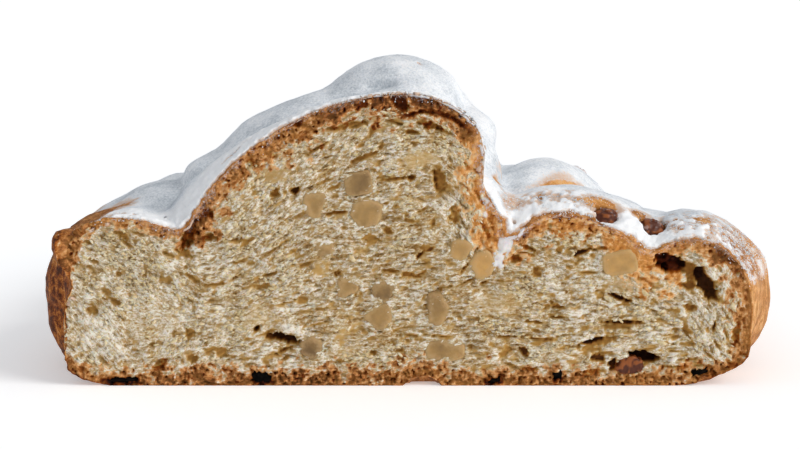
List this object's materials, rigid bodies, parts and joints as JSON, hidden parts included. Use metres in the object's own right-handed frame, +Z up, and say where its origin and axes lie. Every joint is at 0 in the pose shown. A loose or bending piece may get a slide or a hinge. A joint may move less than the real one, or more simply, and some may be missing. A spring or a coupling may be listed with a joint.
{
  "type": "half stollen loaf",
  "caption": "Cut half of a plaited Christmas stollen dusted with icing sugar, with candied peel and raisins in the crumb and crust; rests on its flat base.",
  "frame": {"origin": "under the middle of the half loaf, on the surface that it rests on", "axes": "+Z up; +X to the right of the cut face as seen from in front of it; +Y from the cut face, which is flat and faces -Y, into the loaf"},
  "size_m": [0.164, 0.142, 0.0685],
  "materials": {
    "loaf": "baked yeast dough: cream porous crumb at the cut, golden to dark brown crust, with icing sugar on top",
    "candied_peel": "diced candied peel, translucent and slightly sticky",
    "raisin": "plump wrinkled raisin skin, satin",
    "burnt_raisin": "raisin baked dark in the bottom crust",
    "icing_sugar": "fine white icing sugar, dusted thick on top"
  },
  "bodies": {
    "root": {"stollen_loaf": "loaf", "peel_cube_01": "candied_peel", "peel_cube_02": "candied_peel", "peel_cube_03": "candied_peel", "peel_cube_04": "candied_peel", "peel_cube_05": "candied_peel", "peel_cube_06": "candied_peel", "peel_cube_07": "candied_peel", "peel_cube_08": "candied_peel", "peel_cube_09": "candied_peel", "peel_cube_10": "candied_peel", "peel_cube_11": "candied_peel", "peel_cube_12": "candied_peel", "peel_cube_13": "candied_peel", "raisin_01": "raisin", "raisin_02": "raisin", "raisin_03": "raisin", "raisin_04": "raisin", "raisin_05": "burnt_raisin", "raisin_06": "burnt_raisin", "raisin_07": "burnt_raisin", "raisin_08": "burnt_raisin", "raisin_09": "burnt_raisin", "raisin_10": "raisin", "raisin_11": "raisin", "raisin_12": "raisin", "raisin_13": "raisin", "raisin_14": "raisin"}
  },
  "joints": []
}
